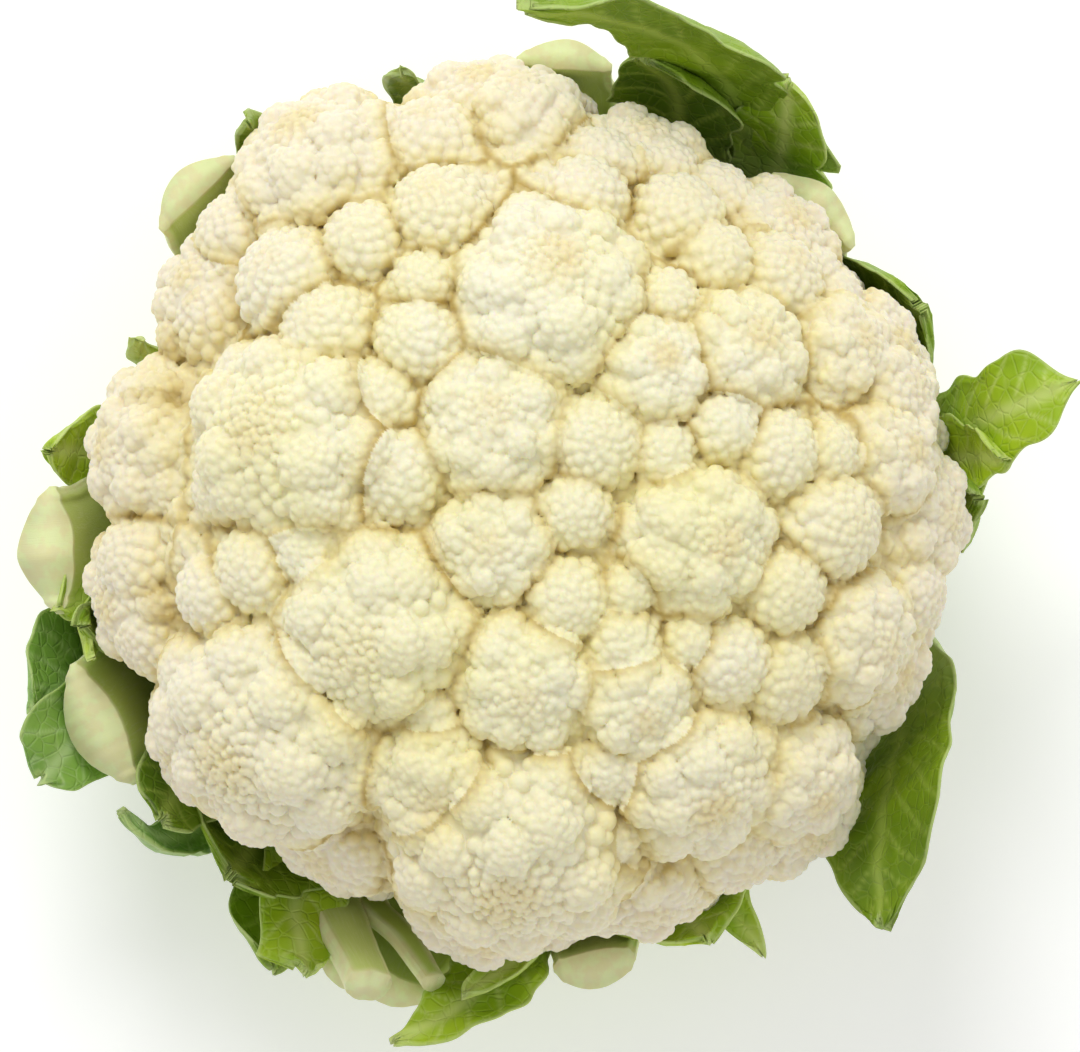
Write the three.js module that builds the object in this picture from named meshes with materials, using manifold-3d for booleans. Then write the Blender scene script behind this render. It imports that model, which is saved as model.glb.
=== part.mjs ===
// A trimmed head of cauliflower: a domed curd of packed florets on a short cut stem,
// wrapped by the cut-back leaves that grow from the stem and bend up round the curd.
// Millimetres, +Z up. The head stands on the stem's cut face at z = 0.
import * as THREE from "three";
import { mergeVertices } from "three/addons/utils/BufferGeometryUtils.js";
import Module from "manifold-3d";

const wasm = await Module();
wasm.setup();

// ---- Driving dimensions ----
const CLEARANCE = 0.35; // kept between pieces that touch
const AXIS = new THREE.Vector2(-3, 2); // plan place of the axis shared by curd and stem
const STEM = { cutRadius: 27, topRadius: 29, ribs: 5, ribDepth: 1.2, rings: 7, sides: 40 };
const CURD = {
  waist: 64, // height of the widest level
  crown: 50, // from the waist to the top of the body under the florets
  belly: 36, // from the waist down to the body's lowest level, before the seat is cut flat
  seat: 33, // height of the flat seat over the stem
  inset: 6, // how far the body lies inside the florets' outline
  sink: 0.5, // share of its radius that a floret's centre lies under the body's surface
  roundness: 2.4, // exponent of the body's section: 2 is an ellipse, more is squarer
  heart: 58, // height of the point that the surface is measured from
  detail: 16, // subdivision of the icosahedron that carries the surface
};
const PETIOLE_BASE = { inside: 20, middle: 47, knee: 68, kneeShare: 0.4 };
const TIERS = [7.5, 15.5, 23.5]; // heights at which leaves leave the stem, lowest first
const LEAF = { stations: 9, acrossHalf: 3, ribShare: 0.75 };

// Radius of the curd's outline from the axis, every 15 degrees from +X.
const OUTLINE = [
  88, 88, 85, 84, 84, 84, 92, 90, 93, 92, 83, 87,
  90, 88, 88, 88, 84, 88, 90, 87, 89, 90, 84, 88,
];

// The florets of the crown: plan place x, y and radius of each.
const FLORETS = [
  [-45, 74, 17], [-22, 78, 10], [-4, 84, 11], [-20, 62, 9.5], [-35, 56, 7.5], [-62, 60, 8],
  [-50, 49, 10], [-66, 44, 10], [2, 45, 18], [-23, 47, 6], [-24, 36, 8], [-42, 38, 9],
  [-32, 24, 8], [-48, 17, 20], [-28, 10, 9], [-82, 15, 13], [-9, 19, 14], [12, 73, 8],
  [25, 75, 9], [38, 70, 8], [45, 64, 7], [9, 66, 8], [28, 62, 9], [35, 53, 7.5],
  [48, 50, 9.5], [56, 52, 7], [62, 48, 7], [25, 44, 6], [22, 30, 11], [40, 34, 12],
  [61, 35, 11], [71, 26, 11], [11, 16, 9], [24, 14, 6], [36, 19, 7], [47, 14, 8],
  [57, 14, 6], [70, 14, 11], [6.5, 2.5, 7], [31, -3, 14], [58, 0, 10], [48, -13, 8],
  [-9, -4, 11], [-45, -5, 7], [-56, -9, 8], [-65, -14, 7], [-82, -8, 9], [-80, -22, 9],
  [-32, -21, 18], [-3, -31, 13], [-21, -36, 5], [-55, -42, 22], [-20, -50, 12], [-5, -65, 22],
  [-38, -66, 9], [5.5, -15, 8], [17, -13, 5], [16, -23, 7], [29, -23, 5], [37, -27, 8.5],
  [19, -35, 11], [48, -30, 9], [64, -23, 12], [77, -14, 9], [13, -48, 7], [31, -51, 15],
  [52, -52, 12], [12, -62, 8], [40, -66, 10], [25, -72, 8],
];

// Rings of florets on the curd's flanks, under the crown: height, count, radius and inset.
const FLANKS = [
  { height: 74, count: 15, radius: 14, inset: 1 },
  { height: 60, count: 14, radius: 13, inset: 3 },
  { height: 48, count: 13, radius: 11, inset: 12 },
];

const COLOURS = {
  curd: 0xf5eed0,
  stem: 0xe6e7bd,
  petiole: 0xd6e0a6,
  blade: 0x5c8220,
  bright: 0x8fb83a,
  dull: 0x6f9a55,
};

// The leaves. path: where the part outside the curd runs, from its knee up to its end.
// half: half-width at the base and along that path; rib and blade: thickness at the middle
// and at the margins; tier: the level on the stem it grows from; cup: how far the section
// wraps round the curd; roll: turn of the section towards the end, in degrees.
const LEAVES = [
  {
    name: "leaf_left", kind: "petiole", tier: 0,
    path: [[-84, -4, 28], [-93.5, -5, 46], [-99.5, -5, 64]],
    half: [9, 12, 13.5, 13], rib: [7, 12], blade: [4, 5], cup: 0.4,
  },
  {
    name: "leaf_lower_left", kind: "petiole", tier: 1,
    path: [[-76, -33, 30], [-84, -37, 46], [-90, -41, 62]],
    half: [9, 12, 14, 14], rib: [7, 12], blade: [4, 5], cup: 0.4,
  },
  {
    name: "leaf_bottom_left", kind: "petiole", tier: 0,
    path: [[-27, -76, 23], [-31, -88, 38], [-33.5, -94, 54]],
    half: [9, 12, 12.5, 12.5], rib: [7, 7], blade: [4, 4], cup: 0.4,
  },
  {
    name: "leaf_bottom", kind: "petiole", tier: 1,
    path: [[9, -78, 30], [11, -86, 44], [11.5, -89.5, 58]],
    half: [9, 9, 8.5, 8.5], rib: [7, 8], blade: [4, 5], cup: 0.4,
  },
  {
    name: "leaf_top", kind: "petiole", tier: 0,
    path: [[4, 84, 28], [5, 92, 46], [5, 94.5, 66]],
    half: [9, 9, 9.5, 9.5], rib: [7, 6], blade: [4, 3], cup: 0.4,
  },
  {
    name: "leaf_upper_left", kind: "petiole", tier: 1,
    path: [[-61, 58, 30], [-67.5, 65.5, 48], [-70.5, 68.5, 64]],
    half: [9, 10, 11, 11], rib: [7, 7], blade: [4, 3], cup: 0.5,
  },
  {
    name: "leaf_upper_right", kind: "petiole", tier: 0,
    path: [[49, 57, 28], [54.5, 63, 48], [56.5, 65, 66]],
    half: [9, 11, 11.5, 11.5], rib: [7, 6], blade: [4, 3], cup: 0.5,
  },
  {
    name: "leaf_bottom_left_stalk", kind: "petiole", tier: 2,
    path: [[-44, -70, 36], [-39.5, -82, 53], [-34, -92, 68]],
    half: [6, 5.5, 5, 5], rib: [6, 7], blade: [4, 5], cup: 0.2,
  },
  {
    name: "leaf_right", kind: "bright", tier: 1,
    path: [[81, 15, 38], [88, 20, 60], [96, 24, 74], [107, 29, 79]],
    half: [8, 8, 10, 12, 2], rib: [6, 2.6], blade: [3, 1.3], cup: 0.5,
  },
  {
    name: "leaf_lower_right", kind: "blade", tier: 0,
    path: [[74, -34, 36], [74, -46, 56], [69, -60, 68], [68, -80, 74]],
    half: [9, 11, 14, 15, 9], rib: [7, 3], blade: [3, 1.3], cup: 0.4, roll: -20,
  },
  {
    name: "leaf_top_right", kind: "blade", tier: 1,
    path: [[38, 74, 36], [41, 85, 58], [33, 94, 76], [16, 100, 88], [-4, 101.5, 92]],
    half: [9, 11, 16, 15, 9, 3], rib: [7, 3], blade: [3, 1.3], cup: 0.4, roll: 20,
  },
  {
    name: "leaf_right_upper", kind: "blade", tier: 2,
    path: [[68, 37, 38], [74, 42.5, 56], [76, 44, 72]],
    half: [6, 10, 14, 12], rib: [6, 2.4], blade: [3, 1.3], cup: 0.6,
  },
  {
    name: "leaf_right_lower", kind: "blade", tier: 2,
    path: [[80, 2, 38], [86, 4, 56], [87.5, 6, 70]],
    half: [6, 7, 8, 5], rib: [6, 2.4], blade: [3, 1.3], cup: 0.4,
  },
  {
    name: "leaf_bottom_right", kind: "bright", tier: 2,
    path: [[26, -73, 37], [30, -80, 54], [34, -83, 66]],
    half: [6, 10, 12, 6], rib: [6, 2.4], blade: [3, 1.3], cup: 0.5,
  },
  {
    name: "leaf_bottom_sliver", kind: "bright", tier: 0,
    path: [[35, -70, 34], [40, -79, 52], [44.5, -86, 60]],
    half: [5, 4, 3, 1.5], rib: [5, 2.2], blade: [3, 1.3], cup: 0.3,
  },
  {
    name: "leaf_bottom_tip", kind: "bright", tier: 2,
    path: [[-5, -80, 37], [-9, -91, 52], [-19, -99, 62], [-30, -103.5, 64]],
    half: [5, 6, 8, 6, 1.5], rib: [5, 2.4], blade: [3, 1.3], cup: 0.4,
  },
  {
    name: "leaf_bottom_left_blade", kind: "blade", tier: 1,
    path: [[-54, -57, 32], [-60, -67, 52], [-62, -70, 68]],
    half: [8, 12, 15, 12], rib: [6, 2.6], blade: [3, 1.3], cup: 0.6,
  },
  {
    name: "leaf_left_narrow", kind: "dull", tier: 0,
    path: [[-64, -56, 28], [-72, -63, 46], [-78, -63, 58], [-84, -56, 66]],
    half: [5, 5, 5, 4, 2], rib: [5, 2.4], blade: [3, 1.3], cup: 0.5,
  },
  {
    name: "leaf_lower_left_blade", kind: "dull", tier: 0,
    path: [[-84, -25, 26], [-96, -32, 46], [-102, -38, 60]],
    half: [8, 10, 13, 8], rib: [6, 2.6], blade: [3, 1.3], cup: 0.4,
  },
  {
    name: "leaf_left_leaflet", kind: "blade", tier: 2,
    path: [[-82, -19, 38], [-89, -20.5, 56], [-91, -20, 74]],
    half: [5, 5, 5, 4], rib: [5, 2.4], blade: [3, 1.3], cup: 0.5,
  },
  {
    name: "leaf_left_upper", kind: "bright", tier: 1,
    path: [[-87, 13, 34], [-94, 15.5, 50], [-99, 15, 64]],
    half: [8, 8, 8, 5], rib: [6, 2.6], blade: [3, 1.3], cup: 0.5,
  },
  {
    name: "leaf_left_tip", kind: "bright", tier: 2,
    path: [[-74, 31, 38], [-80.5, 35, 56], [-80, 37, 74]],
    half: [5, 3, 2.5, 1.5], rib: [5, 2.2], blade: [3, 1.3], cup: 0.4,
  },
  {
    name: "leaf_upper_left_tip", kind: "blade", tier: 2,
    path: [[-51, 70, 38], [-57.5, 79, 58], [-58, 80, 76]],
    half: [5, 4, 5, 2.5], rib: [5, 2.2], blade: [3, 1.3], cup: 0.4,
  },
  {
    name: "leaf_top_left", kind: "blade", tier: 1,
    path: [[-23, 80, 34], [-27, 89, 54], [-27.5, 90, 74]],
    half: [6, 5, 4, 2.5], rib: [5, 2.2], blade: [3, 1.3], cup: 0.5,
  },
];

// ---- Shared geometry ----

// Reads a list of values as one smooth run over 0..1.
function along(values, share) {
  const last = values.length - 1;
  const place = THREE.MathUtils.clamp(share, 0, 1) * last;
  const index = Math.min(Math.floor(place), last - 1);
  const blend = THREE.MathUtils.smoothstep(place - index, 0, 1);
  return THREE.MathUtils.lerp(values[index], values[index + 1], blend);
}

// The outline's radius at an angle about the axis.
function outlineRadius(angle) {
  const turn = THREE.MathUtils.euclideanModulo(angle / (2 * Math.PI), 1);
  return along([...OUTLINE, OUTLINE[0]], turn);
}

// Closes a run of equal rings of points with a fan at each end.
function loft(rings) {
  const sides = rings[0].length;
  const positions = rings.flat().flatMap((point) => point.toArray());
  const index = [];
  for (let ring = 0; ring < rings.length - 1; ring++) {
    for (let side = 0; side < sides; side++) {
      const next = (side + 1) % sides;
      const a = ring * sides + side;
      const b = ring * sides + next;
      index.push(a, b, b + sides, a, b + sides, a + sides);
    }
  }
  addFan(positions, index, rings[0], 0, true);
  addFan(positions, index, rings.at(-1), (rings.length - 1) * sides, false);
  return bufferOf(positions, index);
}

// One end of a loft: triangles from the ring's middle to its sides.
function addFan(positions, index, ring, first, flip) {
  const middle = ring.reduce((sum, point) => sum.add(point), new THREE.Vector3());
  const centre = positions.length / 3;
  positions.push(...middle.divideScalar(ring.length).toArray());
  for (let side = 0; side < ring.length; side++) {
    const a = first + side;
    const b = first + ((side + 1) % ring.length);
    index.push(...(flip ? [centre, b, a] : [centre, a, b]));
  }
}

function bufferOf(positions, index) {
  const geometry = new THREE.BufferGeometry();
  geometry.setAttribute("position", new THREE.Float32BufferAttribute(positions, 3));
  geometry.setIndex(index);
  return geometry;
}

function toSolid(geometry) {
  const clean = geometry.clone();
  clean.deleteAttribute("normal");
  clean.deleteAttribute("uv");
  const merged = mergeVertices(clean, 1e-3);
  const mesh = new wasm.Mesh({
    numProp: 3,
    vertProperties: merged.attributes.position.array,
    triVerts: new Uint32Array(merged.index.array),
  });
  return new wasm.Manifold(mesh);
}

function toGeometry(solid) {
  const { vertProperties, triVerts } = solid.getMesh();
  const geometry = bufferOf([...vertProperties], [...triVerts]);
  geometry.computeVertexNormals();
  return geometry;
}

// ---- Curd ----

// A point of the smooth body under the florets, and its outward direction.
function bodyPoint(x, y) {
  const offset = new THREE.Vector2(x, y).sub(AXIS);
  const rim = outlineRadius(offset.angle()) - CURD.inset;
  const reach = Math.min(offset.length() / rim, 0.97);
  const fall = Math.pow(1 - Math.pow(reach, CURD.roundness), 1 / CURD.roundness);
  const plan = offset.clone().setLength(reach * rim);
  const steepness = (CURD.crown / rim) * Math.pow(reach / fall, CURD.roundness - 1);
  const outward = plan.clone().normalize().multiplyScalar(steepness);
  return {
    place: new THREE.Vector3(plan.x, plan.y, CURD.waist + CURD.crown * fall),
    outward: new THREE.Vector3(outward.x, outward.y, 1).normalize(),
  };
}

// A floret's sphere, kept inside the outline. Its place is measured from the axis.
function crownFloret([x, y, radius]) {
  const { place, outward } = bodyPoint(x, y);
  const centre = place.addScaledVector(outward, -CURD.sink * radius);
  const plan = new THREE.Vector2(centre.x, centre.y);
  const most = outlineRadius(plan.angle()) - radius;
  plan.clampLength(0, most);
  return { centre: new THREE.Vector3(plan.x, plan.y, centre.z), radius };
}

function flankFlorets({ height, count, radius, inset }, level) {
  return Array.from({ length: count }, (_, i) => {
    const angle = ((i + level / 2) / count) * 2 * Math.PI;
    const reach = outlineRadius(angle) - radius - inset;
    const plan = new THREE.Vector2(reach, 0).rotateAround(new THREE.Vector2(), angle);
    return { centre: new THREE.Vector3(plan.x, plan.y, height), radius };
  });
}

// Distance from the curd's heart to the body's surface in one direction.
function bodyReach(direction) {
  const level = Math.hypot(direction.x, direction.y);
  const rim = outlineRadius(Math.atan2(direction.y, direction.x)) - CURD.inset;
  const up = CURD.waist + CURD.crown - CURD.heart;
  const down = CURD.heart - CURD.waist + CURD.belly;
  const rise = Math.abs(direction.z) / (direction.z > 0 ? up : down);
  const power = CURD.roundness;
  return Math.pow(Math.pow(level / rim, power) + Math.pow(rise, power), -1 / power);
}

// Distance from the curd's heart to the far side of a floret in one direction.
function floretReach(direction, floret) {
  const away = direction.dot(floret.centre);
  const miss = floret.centre.lengthSq() - away * away;
  const chord = floret.radius * floret.radius - miss;
  return chord > 0 ? away + Math.sqrt(chord) : 0;
}

// The curd's outer surface: in each direction from its heart, whatever lies farthest out.
function curdGeometry(grow) {
  const heart = new THREE.Vector3(AXIS.x, AXIS.y, CURD.heart);
  const florets = [...FLORETS.map(crownFloret), ...FLANKS.flatMap(flankFlorets)];
  florets.forEach((floret) => (floret.centre.z -= CURD.heart));
  const geometry = new THREE.IcosahedronGeometry(1, CURD.detail);
  const points = geometry.attributes.position;
  const point = new THREE.Vector3();
  for (let i = 0; i < points.count; i++) {
    point.fromBufferAttribute(points, i).normalize();
    const reaches = florets.map((floret) => floretReach(point, floret));
    const reach = Math.max(bodyReach(point), ...reaches) + grow;
    const lowest = CURD.seat - CURD.heart - grow;
    const seated = point.z < 0 ? Math.min(reach, lowest / point.z) : reach;
    point.multiplyScalar(seated).add(heart);
    points.setXYZ(i, point.x, point.y, point.z);
  }
  return geometry;
}

// ---- Stem ----

// The stem: a ribbed stub, widening to the curd's seat.
function stemGeometry(grow) {
  const top = CURD.seat - CLEARANCE;
  const rings = [];
  for (let ring = 0; ring <= STEM.rings; ring++) {
    const share = ring / STEM.rings;
    const radius = THREE.MathUtils.lerp(STEM.cutRadius, STEM.topRadius, share) + grow;
    const twist = share * 0.6;
    rings.push(stemRing(radius, share * top, twist));
  }
  return loft(rings);
}

function stemRing(radius, height, twist) {
  return Array.from({ length: STEM.sides }, (_, i) => {
    const angle = (i / STEM.sides) * 2 * Math.PI;
    const reach = radius + STEM.ribDepth * Math.cos(STEM.ribs * (angle + twist));
    const x = AXIS.x + reach * Math.cos(angle);
    const y = AXIS.y + reach * Math.sin(angle);
    return new THREE.Vector3(x, y, height);
  });
}

// ---- Leaves ----

// A leaf's middle line: out of the stem, under the curd, round its knee and up its path.
function leafLine({ path, tier }) {
  const first = new THREE.Vector3(...path[0]);
  const outward = new THREE.Vector2(first.x, first.y).sub(AXIS).normalize();
  const level = TIERS[tier];
  const rise = PETIOLE_BASE.kneeShare * (first.z - level);
  const at = (reach, height) => {
    const plan = outward.clone().multiplyScalar(reach).add(AXIS);
    return new THREE.Vector3(plan.x, plan.y, height);
  };
  return new THREE.CatmullRomCurve3([
    at(PETIOLE_BASE.inside, level),
    at(PETIOLE_BASE.middle, level + rise * 0.2),
    at(PETIOLE_BASE.knee, level + rise),
    ...path.map((place) => new THREE.Vector3(...place)),
  ]);
}

// The closed outline of a leaf's section: out along its back, home along its inner face.
function leafSection(half, rib, blade, cup, grow) {
  const count = LEAF.acrossHalf;
  const points = [];
  const add = (share, side) => {
    const bow = Math.max(0, 1 - Math.pow(share / LEAF.ribShare, 2));
    const thick = (blade + (rib - blade) * bow) / 2 + grow;
    const width = half + grow;
    const across = (width * Math.sin(cup * share)) / cup;
    const inward = (-width * (1 - Math.cos(cup * share))) / cup;
    points.push(new THREE.Vector2(across, inward + side * thick));
  };
  for (let i = -count; i <= count; i++) add(i / count, 1);
  for (let i = count; i >= -count; i--) add(i / count, -1);
  return points;
}

// A leaf: sections carried along its line without twisting, apart from its own roll.
function leafGeometry(leaf, grow) {
  const line = leafLine(leaf);
  const knots = line.points.length - 1;
  const lead = 3; // spans of the line before the path's first place
  const back = new THREE.Vector3(0, 0, -1);
  const rings = [];
  for (let station = 0; station <= LEAF.stations; station++) {
    const share = station / LEAF.stations;
    const tangent = line.getTangent(share);
    back.addScaledVector(tangent, -back.dot(tangent)).normalize();
    const shown = Math.max(0, (share * knots - lead) / (knots - lead));
    const roll = THREE.MathUtils.degToRad(leaf.roll ?? 0) * shown;
    const normal = back.clone().applyAxisAngle(tangent, roll);
    const side = new THREE.Vector3().crossVectors(tangent, normal);
    const centre = line.getPoint(share);
    const width = widthAt(leaf, share * knots, lead);
    const section = leafSection(
      width, along(leaf.rib, shown), along(leaf.blade, shown), leaf.cup, grow,
    );
    rings.push(section.map(({ x, y }) =>
      centre.clone().addScaledVector(side, x).addScaledVector(normal, y)));
  }
  return loft(rings);
}

// Half-width of a leaf at a place counted in spans of its line.
function widthAt({ half }, span, lead) {
  if (span < lead) return THREE.MathUtils.lerp(half[0], half[1], Math.max(0, span / lead));
  return along(half.slice(1), (span - lead) / (half.length - 2));
}

function largestBody(solid) {
  const bodies = solid.decompose();
  return bodies.reduce((best, body) => (body.volume() > best.volume() ? body : best));
}

// ---- Assembly ----

const head = new THREE.Group();
head.name = "cauliflower";

function addPiece(name, geometry, colour, roughness) {
  const material = new THREE.MeshStandardMaterial({ color: colour, roughness, metalness: 0 });
  const mesh = new THREE.Mesh(geometry, material);
  mesh.name = name;
  head.add(mesh);
}

addPiece("curd", curdGeometry(0), COLOURS.curd, 0.75);
addPiece("stem", stemGeometry(0), COLOURS.stem, 0.7);

// Each leaf is trimmed to stay clear of the stem, the curd and the leaves before it.
const taken = [stemGeometry(CLEARANCE), curdGeometry(CLEARANCE)].map(toSolid);
for (const leaf of LEAVES) {
  const whole = toSolid(leafGeometry(leaf, 0));
  const trimmed = taken.reduce((solid, other) => solid.subtract(other), whole);
  const body = largestBody(trimmed).simplify(0.02);
  addPiece(leaf.name, toGeometry(body), COLOURS[leaf.kind], 0.55);
  taken.push(toSolid(leafGeometry(leaf, CLEARANCE)));
}

// The origin is the middle of the head's footprint, on the surface it stands on.
const box = new THREE.Box3().setFromObject(head);
const middle = box.getCenter(new THREE.Vector3());
head.position.set(-middle.x, -middle.y, -box.min.z);

const part = new THREE.Group();
part.add(head);

export default part;
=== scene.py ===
import math
import random

import bpy
import numpy as np
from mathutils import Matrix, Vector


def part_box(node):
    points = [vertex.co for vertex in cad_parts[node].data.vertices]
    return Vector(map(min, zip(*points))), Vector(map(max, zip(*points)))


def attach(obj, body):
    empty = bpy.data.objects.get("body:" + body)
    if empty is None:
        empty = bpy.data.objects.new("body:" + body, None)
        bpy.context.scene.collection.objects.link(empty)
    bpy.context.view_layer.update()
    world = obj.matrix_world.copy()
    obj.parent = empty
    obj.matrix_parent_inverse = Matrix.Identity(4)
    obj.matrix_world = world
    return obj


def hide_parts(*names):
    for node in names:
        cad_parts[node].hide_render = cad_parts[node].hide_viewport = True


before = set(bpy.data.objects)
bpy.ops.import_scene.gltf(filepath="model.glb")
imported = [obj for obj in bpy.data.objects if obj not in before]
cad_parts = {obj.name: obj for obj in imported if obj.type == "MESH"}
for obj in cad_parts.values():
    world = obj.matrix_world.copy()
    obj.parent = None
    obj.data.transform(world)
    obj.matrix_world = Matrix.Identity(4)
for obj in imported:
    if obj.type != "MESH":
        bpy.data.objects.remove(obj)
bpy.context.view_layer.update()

import openvdb
from mathutils import Vector

MM = 0.001
GOLDEN_ANGLE = math.pi * (3 - math.sqrt(5))

# ---- Driving dimensions, in millimetres, shared with the CAD ----
AXIS = np.array([-3.0, 2.0])  # plan place of the axis of curd and stem in the lists below
STEM = {
    "cut": 27,  # radius at the cut face
    "top": 29,  # radius at the top
    "ribs": 5,
    "rib_depth": 1.2,
    "rib_twist": 0.6,  # turn of the ribs from cut to top, in radians
    "lift": 0.35,  # gap between the stem's top and the curd's seat
    "scar_rise": 3.6,  # height of a leaf scar over its tier
    "scar_depth": 0.7,
    "grain": 0.35,  # depth of the uneven skin
}
CURD = {
    "waist": 64,  # height of the widest level
    "crown": 50,  # from the waist to the top of the body under the florets
    "belly": 36,  # from the waist down to the body's lowest level
    "seat": 33,  # height of the flat seat over the stem
    "inset": 6,  # how far the body lies inside the florets' outline
    "sink": 0.5,  # share of its radius that a floret's centre lies under the body
    "roundness": 2.4,  # exponent of the body's section
    "heart": 58,  # height of the point that directions are measured from
    "root": 28,  # height of the point that the florets lean away from
}
OUTLINE = [  # radius of the curd's outline from the axis, every 15 degrees from +X
    88, 88, 85, 84, 84, 84, 92, 90, 93, 92, 83, 87,
    90, 88, 88, 88, 84, 88, 90, 87, 89, 90, 84, 88,
]
FLORETS = [  # plan place x, y and radius of each floret of the crown
    (-45, 74, 17), (-22, 78, 10), (-4, 84, 11), (-20, 62, 9.5), (-35, 56, 7.5), (-62, 60, 8),
    (-50, 49, 10), (-66, 44, 10), (2, 45, 18), (-23, 47, 6), (-24, 36, 8), (-42, 38, 9),
    (-32, 24, 8), (-48, 17, 20), (-28, 10, 9), (-82, 15, 13), (-9, 19, 14), (12, 73, 8),
    (25, 75, 9), (38, 70, 8), (45, 64, 7), (9, 66, 8), (28, 62, 9), (35, 53, 7.5),
    (48, 50, 9.5), (56, 52, 7), (62, 48, 7), (25, 44, 6), (22, 30, 11), (40, 34, 12),
    (61, 35, 11), (71, 26, 11), (11, 16, 9), (24, 14, 6), (36, 19, 7), (47, 14, 8),
    (57, 14, 6), (70, 14, 11), (6.5, 2.5, 7), (31, -3, 14), (58, 0, 10), (48, -13, 8),
    (-9, -4, 11), (-45, -5, 7), (-56, -9, 8), (-65, -14, 7), (-82, -8, 9), (-80, -22, 9),
    (-32, -21, 18), (-3, -31, 13), (-21, -36, 5), (-55, -42, 22), (-20, -50, 12), (-5, -65, 22),
    (-38, -66, 9), (5.5, -15, 8), (17, -13, 5), (16, -23, 7), (29, -23, 5), (37, -27, 8.5),
    (19, -35, 11), (48, -30, 9), (64, -23, 12), (77, -14, 9), (13, -48, 7), (31, -51, 15),
    (52, -52, 12), (12, -62, 8), (40, -66, 10), (25, -72, 8),
]
FLANKS = [  # rings of florets under the crown: height, count, radius and inset
    (74, 15, 14, 1), (60, 14, 13, 3), (48, 13, 11, 12),
]
SWELL = 0.12  # how much fuller than in the CAD the florets press together
BODY_SHRINK = 5.0  # how much deeper than the CAD body the seams between florets go
DOME = {  # the smaller domes that a big floret is made of
    "from": 11.5,  # radius over which a floret has them
    "apex_share": 0.2,  # radius at the tip, as a share of the floret's
    "rim_share": 0.36,  # and of the lowest dome
    "rise": 0.5,  # share of its radius that a dome is sunk
    "start": 0.3,  # share of the way down where they begin
    "reach": 1.75,  # angle of the lowest dome from the tip
    "jitter": 0.15,  # how much their radii vary
    "lean": 0.5,  # how far they lean with their floret
    "core": 0.96,  # share of its radius that a dome keeps under its beads
}
BEAD = {  # the beads that cover a dome
    "apex": 0.8,  # radius at the tip
    "rim": 1.15,  # radius on the side
    "rim_share": 0.06,  # share of the dome's radius added to that
    "rise_apex": 0.86,  # share of its radius that a bead is sunk at the tip
    "rise": 0.45,  # and on the side
    "grow": 1.5,  # how soon on the way down the radius of the side is reached
    "stand": 1.6,  # how soon the rise of the side is reached
    "reach": 1.85,
    "jitter": 0.25,
}
WINDING = {  # how small spheres are wound round a big one
    "pitch": 0.52,  # step down the axis, in squared ratios of the two radii
    "drift": 0.7,  # most that a sphere lies aside, in its own radii
    "least_ring": 0.08,  # least reach from the axis for a drift
    "aside": [0.31, 0.92, 0.24],  # not the direction of any axis
    "hidden": 0.4,  # share of its radius by which another big one covers it
}
FILLER = {"count": 2600, "depth": 6.5, "radius": 3.4, "vary": 0.25, "span": 1.75}
BRANCH = {  # the branches that carry the lowest florets
    "below": 62,  # height over which florets have none
    "foot": 18,  # distance of the foot from the axis
    "lift": 9,  # and over the seat
    "sag": 3.5,
    "radius": 8,
    "waist": 1.5,  # how much thinner it is halfway
    "steps": 30,
}
# The seam and dip measures mask the curd's painted crease shade.
SEAMS = {  # width of each measure, and the angles from the tip that it sets in over
    "seam": {"width": 2.4, "from": 0.55, "to": 1.25},
    "dip": {"width": 6.5, "from": 0.35, "to": 1.1},
}
TIP = {"from": 0.12, "to": 0.42, "small": 8, "big": 13}  # where a floret's tip fades, by size
VOXEL = 0.42  # size of the cells that the curd's surface is drawn from
BAND = 0.9  # how far from the surface the distances are kept
CELLS = {"side": 101, "under_seat": 3, "top": 123}  # half-width and levels of the cells' box

BASE = {  # a leaf's hidden way from the stem to under the curd's edge
    "inside": 20,  # distance from the axis of its end in the stem
    "middle": 47,
    "knee": 68,
    "middle_rise": 0.2,  # share of the knee's rise
    "knee_share": 0.4,  # share of the rise to the shown part
    "flare": 0.3,  # how much wider the leaf is there
}
LEAD = 3  # spans of a leaf's line that this way takes
TIERS = [7.5, 15.5, 23.5]  # levels on the stem that leaves grow from
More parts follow.
